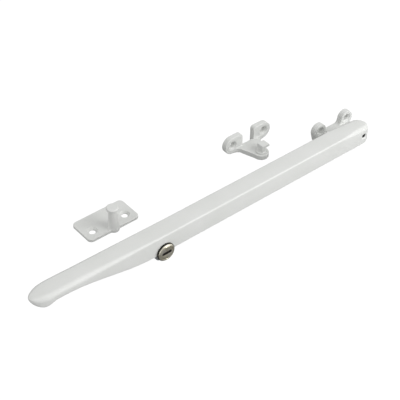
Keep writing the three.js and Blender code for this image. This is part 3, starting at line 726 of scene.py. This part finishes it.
SINK_RADIUS = 3.9
HOLE_RADIUS = 2.3
SINK_DEPTH = 1.6
SASH_X = ARM_LEFT + 288.8
SASH_THICKNESS = 4.8
SASH_TONGUE = (2.4, 4.8)
FRAME_X = ARM_LEFT + 226.8
FRAME_THICKNESS = 4.5
FRAME_REACH = 19.3          # mounting face to the middle of the tongue's round end
FRAME_TONGUE = 3.8
PLATE_X = ARM_LEFT + 91.6
PLATE_LENGTH = 42.8
PLATE_WIDTH = 23.4
PLATE_THICKNESS = 2.2


def screw_hole(mouth, depth):
    """A countersunk hole along Z whose wide mouth is at the given height."""
    return turned("hole", [
        (0, mouth - depth - 1),
        (HOLE_RADIUS, mouth - depth - 1),
        (HOLE_RADIUS, mouth - SINK_DEPTH),
        (SINK_RADIUS, mouth),
        (SINK_RADIUS, mouth + 1),
        (0, mouth + 1),
    ], 64)


def tongue_outline(root, reach, radius, tip):
    """A tongue that narrows from its root to a round end at (tip, -reach)."""
    half = root / 2
    fillet = 4
    turns = [math.radians(10 * step) for step in range(10)]
    right = [(half + fillet, 1.5)]
    right += [
        (half - 1 + (fillet + 1) * (1 - math.sin(turn)), -fillet * (1 - math.cos(turn)))
        for turn in turns
    ]
    left = [(-x, y) for x, y in right]
    return left + arc(tip, -reach, radius, 180, 360, 40) + right[::-1]


def make_sash_bracket():
    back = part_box("sash_bracket")[1].y / MM
    front = back - SASH_THICKNESS
    centre = SASH_X
    half, hole_z, lobe = 14.2, 8.2, 6
    outline = [(-half - 4, 0), (half + 4, 0)]
    outline += arc(half, hole_z, lobe, -8, 155, 40)
    outline += [(half - lobe - 0.3, 7), (half - lobe - 0.9, 5.6), (half - lobe - 2.2, 4.8)]
    outline += [(-x, z) for x, z in outline[:1:-1]]
    bracket = moved(upright(prism("sash_bracket_casting", outline, -back, -front)), x=centre)
    outline = tongue_outline(18, front - ARM_Y, 4.4, PIVOT_X - centre)
    tongue = prism("tongue", outline, *SASH_TONGUE)
    combine(bracket, [moved(tongue, centre, front)], "UNION")
    holes = [
        moved(upright(screw_hole(-front, SASH_THICKNESS)), centre + side * half, 0, hole_z)
        for side in (-1, 1)
    ]
    holes.append(moved(rod("rivet_hole", 2.3, 0, 8), PIVOT_X, ARM_Y))
    combine(bracket, holes, "DIFFERENCE")
    melt(bracket, 0.22, 5)
    finish(bracket, "sash_bracket")


def make_frame_bracket():
    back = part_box("frame_bracket")[1].y / MM
    front = back - FRAME_THICKNESS
    half, hole_z, lobe, inner, corner = 15.5, 7.5, 7, 5.6, 2.4
    ear = [(inner, hole_z - lobe)] + arc(half, hole_z, lobe, -90, 90, 40)
    ear += arc(inner + corner, hole_z + lobe - corner, corner, 90, 180, 12)
    left = [(-x, z) for x, z in reversed(ear)]
    bracket = upright(prism("frame_bracket_casting", ear, -back, -front))
    others = [upright(prism("ear", left, -back, -front))]
    outline = tongue_outline(21, FRAME_REACH - FRAME_THICKNESS, 6, 0)
    others.append(moved(prism("tongue", outline, 0, FRAME_TONGUE), y=front))
    combine(bracket, others, "UNION")
    holes = [
        moved(upright(screw_hole(-front, FRAME_THICKNESS)), side * half, 0, hole_z)
        for side in (-1, 1)
    ]
    holes.append(moved(rod("rivet_hole", 2.8, -2, 8), y=back - FRAME_REACH))
    combine(bracket, holes, "DIFFERENCE")
    moved(bracket, x=FRAME_X)
    melt(bracket, 0.22, 5)
    finish(bracket, "frame_bracket")


def make_hook():
    """Collar, flat post and overhanging head of the swivelling hook."""
    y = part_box("frame_bracket")[1].y / MM - FRAME_REACH
    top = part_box("swivel_hook")[1].z / MM
    post_z = 4.7
    hook = turned("hook_casting", [
        (0, 0.3), (3.4, 0.3), (2.5, 1.3), (2.5, 4.1), (4, 4.1), (4, 4.5), (3.8, post_z), (0, post_z),
    ], 64)
    outline = [
        (-1.4, post_z - 0.2), (2, post_z - 0.2), (2, top - 2.9), (2.4, top - 2.3), (3, top - 2.2),
        (5.2, top - 2.2), (5.6, top - 1.8), (5.6, top - 0.5), (5.1, top),
        (-0.9, top), (-1.4, top - 0.5),
    ]
    combine(hook, [upright(prism("post", outline, -3.2, 3.2))], "UNION")
    moved(hook, FRAME_X, y)
    melt(hook, 0.16, 4)
    finish(hook, "swivel_hook")


# ---------------------------------------------------------------- peg plate

def make_peg_plate():
    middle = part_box("peg_plate")[1].y / MM - PLATE_WIDTH / 2
    outline = rounded_rectangle(PLATE_LENGTH, PLATE_WIDTH, 3.6)
    plate = prism("peg_plate_casting", outline, 0, PLATE_THICKNESS)
    peg = turned("peg", [
        (0, 0), (4.3, 0), (4.3, 2.4), (4, 3), (2.8, 17.7), (4.1, 18.2),
        (4.45, 18.6), (4.45, 19.7), (4, 20.2), (0, 20.2),
    ])
    combine(plate, [moved(peg, y=-PLATE_WIDTH / 2 + 2.3)], "UNION")
    holes = [
        moved(screw_hole(PLATE_THICKNESS, PLATE_THICKNESS), side * 13.8, -3.2) for side in (-1, 1)
    ]
    combine(plate, holes, "DIFFERENCE")
    moved(plate, PLATE_X, middle)
    melt(plate, 0.17, 3)
    finish(plate, "peg_plate")


make_arm()
make_lock_barrel()
make_lock_rim()
make_lock_plug()
make_key_slot_shade()
make_sash_bracket()
make_frame_bracket()
make_hook()
make_peg_plate()

EASED = {
    "lock_body": 0.3, "lock_clip": 0.08, "lock_cam": 0.15, "lock_cam_screw": 0.08,
    "lock_fixing_screw": 0.08, "pivot_yoke": 0.25, "cross_pin": 0.05, "pivot_rivet": 0.15,
    "pivot_washer": 0.1, "slide_track": 0.08, "track_screw_1": 0.08, "track_screw_2": 0.08,
    "track_screw_3": 0.08, "stop_handle_end": 0.3, "stop_pivot_end": 0.3, "slider": 0.25,
    "slider_spring": 0.05,
}
for node, width in EASED.items():
    refined(node, node + "_eased", width)


# ---------------------------------------------------------------- stage, light and camera

def stage_material():
    """The pale floor: it glows a little, so that it stays near white under soft light."""
    material = new_material("pale floor", Roughness=1.0)
    shader = material.node_tree.nodes["Principled BSDF"]
    shader.inputs["Base Color"].default_value = (0.12, 0.12, 0.12, 1)
    shader.inputs["Specular IOR Level"].default_value = 0
    shader.inputs["Emission Color"].default_value = (1, 1, 1, 1)
    shader.inputs["Emission Strength"].default_value = 0.97
    return material


def make_stage(radius=3.0, rise=3.0, rings=24, spokes=96):
    """A round floor that curves up into a wall on every side."""
    flat = 0.75
    profile = [(0, 0)]
    profile += [(radius * flat * step / 4, 0) for step in range(1, 5)]
    for step in range(1, rings + 1):
        turn = (step / rings) * math.pi / 2
        profile.append((
            radius * flat + radius * (1 - flat) * math.sin(turn),
            rise * (1 - math.cos(turn)),
        ))
    points = [(0, 0, 0)]
    faces = []
    for reach, height in profile[1:]:
        for spoke in range(spokes):
            angle = spoke / spokes * math.tau
            points.append((reach * math.cos(angle), reach * math.sin(angle), height))
    for spoke in range(spokes):
        after = (spoke + 1) % spokes
        faces.append((0, 1 + spoke, 1 + after))
        for ring in range(len(profile) - 2):
            low = 1 + ring * spokes
            faces.append((low + spoke, low + spokes + spoke, low + spokes + after, low + after))
    mesh = bpy.data.meshes.new("floor")
    mesh.from_pydata(points, [], faces)
    floor = make_object("floor", mesh)
    floor.data.materials.append(stage_material())
    for face in floor.data.polygons:
        face.use_smooth = True
    floor.visible_diffuse = False
    floor.visible_glossy = False
    floor.visible_shadow = False


def area_light(name, position, target, width, height, power):
    data = bpy.data.lights.new(name, "AREA")
    data.shape = "RECTANGLE"
    data.size = width
    data.size_y = height
    data.energy = power
    light = bpy.data.objects.new(name, data)
    bpy.context.scene.collection.objects.link(light)
    light.location = position
    aim = Vector(target) - Vector(position)
    light.rotation_euler = aim.to_track_quat("-Z", "Y").to_euler()
    light.visible_camera = False


def make_world(low, high):
    """Even studio light, brighter from above than from below."""
    world = bpy.data.worlds.new("studio")
    bpy.context.scene.world = world
    world.use_nodes = True
    tree = world.node_tree
    coordinates = tree.nodes.new("ShaderNodeTexCoord")
    split = tree.nodes.new("ShaderNodeSeparateXYZ")
    grade = tree.nodes.new("ShaderNodeMapRange")
    tree.links.new(coordinates.outputs["Generated"], split.inputs["Vector"])
    tree.links.new(split.outputs["Z"], grade.inputs["Value"])
    grade.inputs["From Min"].default_value = -0.5
    grade.inputs["From Max"].default_value = 0.6
    grade.inputs["To Min"].default_value = low
    grade.inputs["To Max"].default_value = high
    tree.links.new(grade.outputs["Result"], tree.nodes["Background"].inputs["Strength"])
    tree.nodes["Background"].inputs["Color"].default_value = (1, 1, 1, 1)


make_stage()
make_world(0.2, 0.68)
area_light("key", (0.5, -0.85, 0.7), (0.03, 0, 0), 0.8, 0.6, 6.6)
area_light("fill", (0.34, -0.56, 0.1), (0.1, 0, 0.01), 0.5, 0.25, 1)
area_light("side", (-0.7, -0.1, 0.08), (0, 0, 0.01), 0.5, 0.3, 0.65)
bpy.context.scene.view_settings.view_transform = "Standard"

camera = bpy.data.objects.new("camera", bpy.data.cameras.new("camera"))
bpy.context.scene.collection.objects.link(camera)
camera.data.sensor_width = 36
camera.data.lens = 94.25
camera.data.clip_start = 0.01
camera.data.clip_end = 50
camera.location = (-0.3605, -0.4453, 0.4895)
camera_target = Vector((0.00345, -0.0001, 0))
camera.rotation_mode = "QUATERNION"
camera.rotation_quaternion = (camera_target - camera.location).to_track_quat("-Z", "Y")
bpy.context.scene.camera = camera
